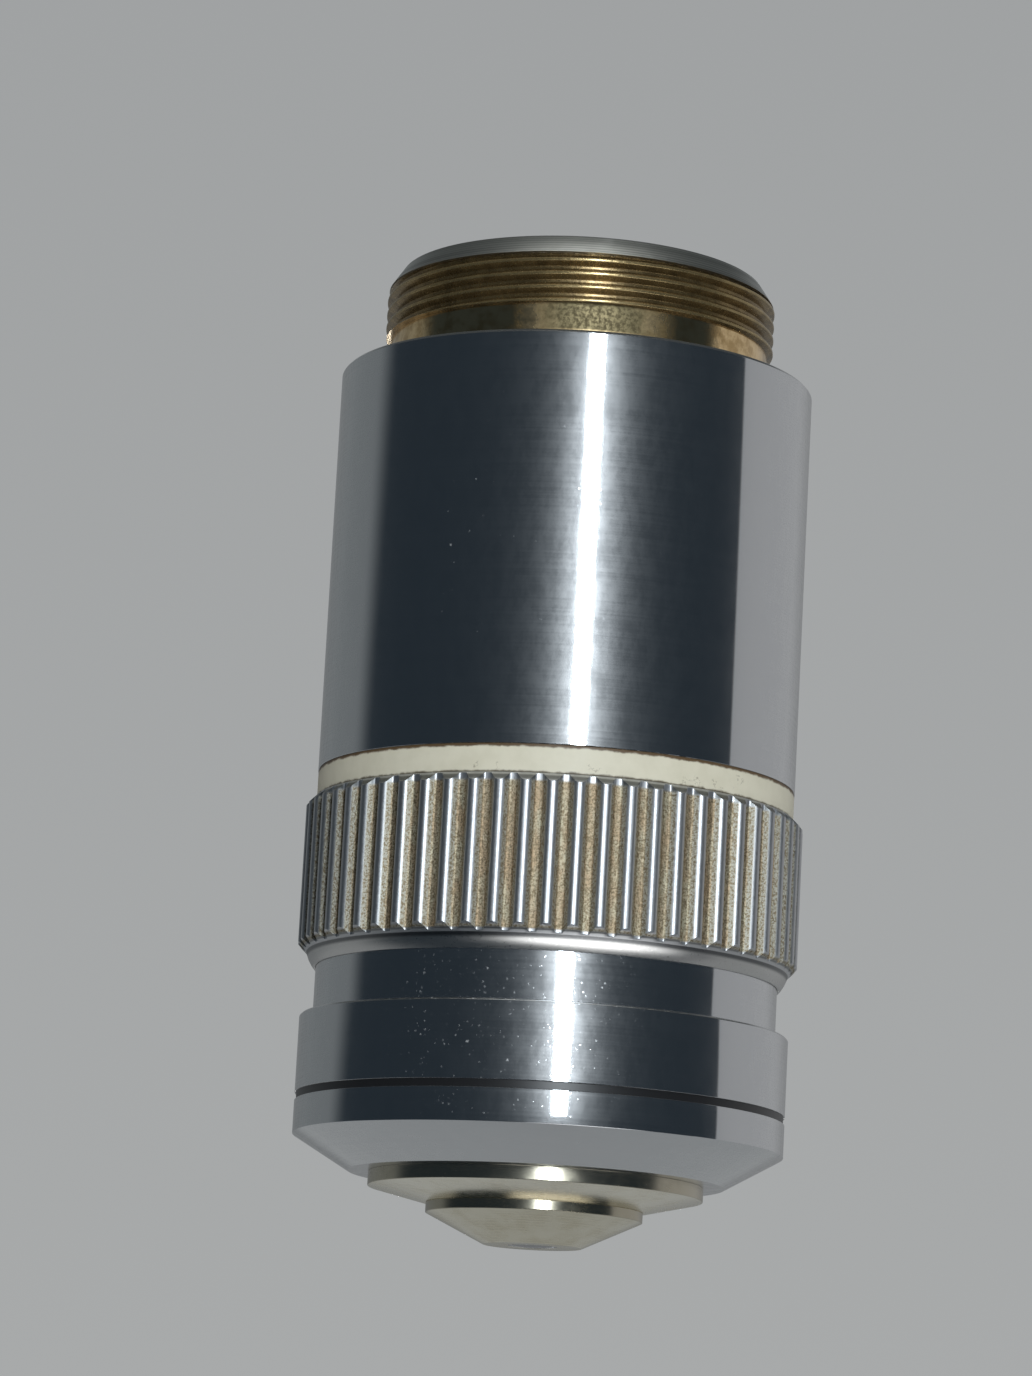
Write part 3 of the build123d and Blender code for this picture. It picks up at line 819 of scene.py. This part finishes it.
mount_silver = pale_metal(
    "mount_nickel_silver", rubbed=(0.90, 0.86, 0.73, 1), tarnished=(0.84, 0.79, 0.65, 1),
    rim_radius=mount_rim_radius,
)
mount = turned([
    (mount_bore_radius, mount_nose),
    (mount_nose_radius, mount_nose),
    (mount_rim_radius, mount_edge),
    (mount_rim_radius, sleeve_front),
    (mount_spigot_radius, sleeve_front),
    (mount_spigot_radius, mount_top),
    (mount_bore_radius, mount_top),
], nose_rounding)
finished("front_mount_ring", mount, "nose", ["front_mount"], mount_silver)

# Front lens cell
# The small nickel silver cone that holds the front lens, screwed up into the front mount.
# Its flat tip dips into the oil, with a thin lip turned over the glass.
cell_rim_radius = 5.5
cell_spigot_radius = 4.6
cell_bore_radius = 3.4
cell_edge = -43.2
cell_top = -40.35
throat_top = -42.76
throat_bottom = -43.56
tip = -44.65
tip_radius = 2.5
lip_radius = 1.27
lens_seat = -44.57
lens_seat_radius = 1.55

cell_silver = pale_metal(
    "cell_nickel_silver", rubbed=(0.78, 0.74, 0.61, 1), tarnished=(0.70, 0.65, 0.51, 1),
    rim_radius=cell_rim_radius,
)
cell = turned([
    (lip_radius, tip),
    (tip_radius, tip),
    (cell_rim_radius, cell_edge),
    (cell_rim_radius, mount_nose),
    (cell_spigot_radius, mount_nose),
    (cell_spigot_radius, cell_top),
    (cell_bore_radius, cell_top),
    (cell_bore_radius, throat_top),
    (lens_seat_radius, throat_bottom),
    (lens_seat_radius, lens_seat),
    (lip_radius, lens_seat),
], nose_rounding)
finished("front_lens_cone", cell, "nose", ["front_lens_cell"], cell_silver)

# Front lens
# A tiny hemisphere of polished glass, flat towards the oil.
# It is cemented behind the lip of the cone and stands a hair back from its tip.
front_lens_radius = 1.52
front_lens_equator = -44.32
lens_clearance = 0.01
dome_steps = 20
front_glass = optical("front_glass", tint=(0.94, 0.95, 0.96, 1), film=(0.80, 0.85, 1.0, 1))
dome = [
    (front_lens_radius * math.cos(a), front_lens_equator + front_lens_radius * math.sin(a))
    for a in (math.pi / 2 * i / dome_steps for i in range(dome_steps + 1))
]
front_profile = [
    (0, tip + lens_clearance),
    (lip_radius - lens_clearance, tip + lens_clearance),
    (lip_radius - lens_clearance, lens_seat),
    (front_lens_radius, lens_seat),
] + dome
finished("front_lens_dome", lens(front_profile), "nose", ["front_lens"], front_glass)

# Floor and room
# A plain pale floor well below the nose, clear from below, and a room that the bright plate mirrors:
# pale behind and dark in front, with pale patches overhead, on the floor and low in front.
ground_reach = 6.0
ground_height = -0.08
floor_mesh = bmesh.new()
bmesh.ops.create_circle(floor_mesh, cap_ends=True, radius=ground_reach, segments=96)
bmesh.ops.translate(floor_mesh, verts=floor_mesh.verts[:], vec=(0, 0, ground_height))
floor_data = bpy.data.meshes.new("floor")
floor_mesh.to_mesh(floor_data)
floor_mesh.free()
paper = bpy.data.materials.new("pale_paper")
paper.use_nodes = True
tree = paper.node_tree
shader = tree.nodes["Principled BSDF"]
shader.inputs["Base Color"].default_value = (0.25, 0.254, 0.258, 1)
shader.inputs["Roughness"].default_value = 0.9
shader.inputs["Emission Color"].default_value = (0.62, 0.63, 0.64, 1)
shader.inputs["Emission Strength"].default_value = 0.42
from_below = add(tree, "NewGeometry").outputs["Backfacing"]
clear = add(tree, "BsdfTransparent")
one_sided = add(tree, "MixShader", {0: from_below, 1: shader.outputs[0], 2: clear.outputs[0]})
tree.links.new(one_sided.outputs[0], tree.nodes["Material Output"].inputs["Surface"])
floor_data.materials.append(paper)
floor = bpy.data.objects.new("floor", floor_data)
floor.visible_glossy = False
bpy.context.scene.collection.objects.link(floor)

dark_front = (0.022, 0.031, 0.040, 1)
pale_left = (0.19, 0.205, 0.21, 1)
pale_right = (0.40, 0.405, 0.41, 1)
far_grey = (0.10, 0.105, 0.11, 1)
high_grey = (0.06, 0.065, 0.065, 1)
overhead_light = (1.35, 1.36, 1.32, 1)
floor_light = (0.32, 0.332, 0.335, 1)
front_light = (3.7, 3.72, 3.72, 1)
backdrop_low = (0.41, 0.42, 0.42, 1)
backdrop_high = (0.34, 0.35, 0.355, 1)
left_turn = (0.3746, 0.927)
front_turn = (0.36, 0.93)
room = bpy.data.worlds.new("room")
bpy.context.scene.world = room
room.use_nodes = True
tree = room.node_tree
tree.nodes.clear()
way = add(tree, "SeparateXYZ", {0: add(tree, "TexCoord").outputs["Generated"]})
way_x, way_y, way_z = way.outputs
left_side = maths(
    tree, "ADD",
    maths(tree, "MULTIPLY", way_x, left_turn[0]),
    maths(tree, "MULTIPLY", way_y, left_turn[1]),
)
pale_half = maths(
    tree, "MINIMUM",
    between(tree, way_y, -0.002, 0.022),
    between(tree, left_side, -0.20, 0.08),
)
far_back = between(tree, way_y, 0.75, 0.99, 0.0, 0.45)
pale_side = blended(tree, between(tree, way_x, -0.75, 0.75), pale_left, pale_right)
pale_back = blended(tree, far_back, pale_side, far_grey)
surround = blended(tree, pale_half, dark_front, pale_back)
surround = blended(tree, between(tree, way_z, 0.40, 0.62), surround, high_grey)
overhead_patch = maths(
    tree, "MULTIPLY",
    between(tree, way_z, 0.86, 0.99),
    between(tree, way_y, 0.03, -0.08),
)
surround = blended(tree, overhead_patch, surround, overhead_light)
floor_patch = maths(
    tree, "MULTIPLY",
    between(tree, way_z, -0.12, -0.32),
    between(tree, way_y, 0.02, 0.30),
)
surround = blended(tree, floor_patch, surround, floor_light)
way_front = maths(
    tree, "SUBTRACT",
    maths(tree, "MULTIPLY", way_x, front_turn[0]),
    maths(tree, "MULTIPLY", way_y, front_turn[1]),
)
front_patch = maths(
    tree, "MULTIPLY",
    between(tree, way_z, -0.42, -0.66),
    between(tree, way_front, 0.47, 0.66),
)
surround = blended(tree, front_patch, surround, front_light)
seen = blended(tree, between(tree, way_z, -0.2, 0.5), backdrop_low, backdrop_high)
around = add(tree, "Background", {"Color": surround, "Strength": 1.0})
behind = add(tree, "Background", {"Color": seen, "Strength": 1.0})
straight = add(tree, "LightPath").outputs["Is Camera Ray"]
both = add(tree, "MixShader", {0: straight, 1: around.outputs[0], 2: behind.outputs[0]})
add(tree, "OutputWorld", {"Surface": both.outputs[0]})

lamp_aim = (0, 0, -0.02)


def panel(name, place, width, tall, watts, tint):
    """A flat lamp at a place, facing the objective."""
    lamp = bpy.data.lights.new(name, "AREA")
    lamp.shape = "RECTANGLE"
    lamp.size = width
    lamp.size_y = tall
    lamp.energy = watts
    lamp.color = tint
    holder = bpy.data.objects.new(name, lamp)
    holder.location = place
    holder.rotation_euler = (Vector(lamp_aim) - Vector(place)).to_track_quat("-Z", "Y").to_euler()
    holder.visible_camera = False
    bpy.context.scene.collection.objects.link(holder)
    return holder


panel("window", (0.094, -0.593, 0.10), width=0.066, tall=0.34, watts=2.55, tint=(0.86, 0.94, 1.0))
overhead = panel("ceiling", (0.1, -0.25, 0.9), width=0.6, tall=0.6, watts=6.0, tint=(1.0, 0.98, 0.95))
overhead.visible_glossy = False
panel("back_fill", (0.0, 0.62, 0.16), width=0.06, tall=0.34, watts=1.6, tint=(1.0, 0.99, 0.97))

# Camera
# Close to the photograph's: from in front and a little below, looking up along the objective.
# Its place, lens and turns are fitted to the edges of the real pieces.
camera_place = (0, -0.247668, -0.062471)
yaw, pitch, roll = -0.00944, 0.18541, 0.05407
camera_data = bpy.data.cameras.new("camera")
camera_data.lens = 127.757
camera_data.sensor_width = 36.0
camera_data.clip_start = 0.005
camera_data.clip_end = 50.0
camera = bpy.data.objects.new("camera", camera_data)
ahead = Vector((math.sin(yaw) * math.cos(pitch), math.cos(yaw) * math.cos(pitch), math.sin(pitch)))
right = Vector((math.cos(yaw), -math.sin(yaw), 0))
up = right.cross(ahead)
tilted_right = right * math.cos(roll) + up * math.sin(roll)
tilted_up = up * math.cos(roll) - right * math.sin(roll)
turn = Matrix((tilted_right, tilted_up, -ahead)).transposed().to_4x4()
camera.matrix_world = Matrix.Translation(camera_place) @ turn
bpy.context.scene.collection.objects.link(camera)
bpy.context.scene.camera = camera
bpy.context.scene.view_settings.view_transform = "Standard"
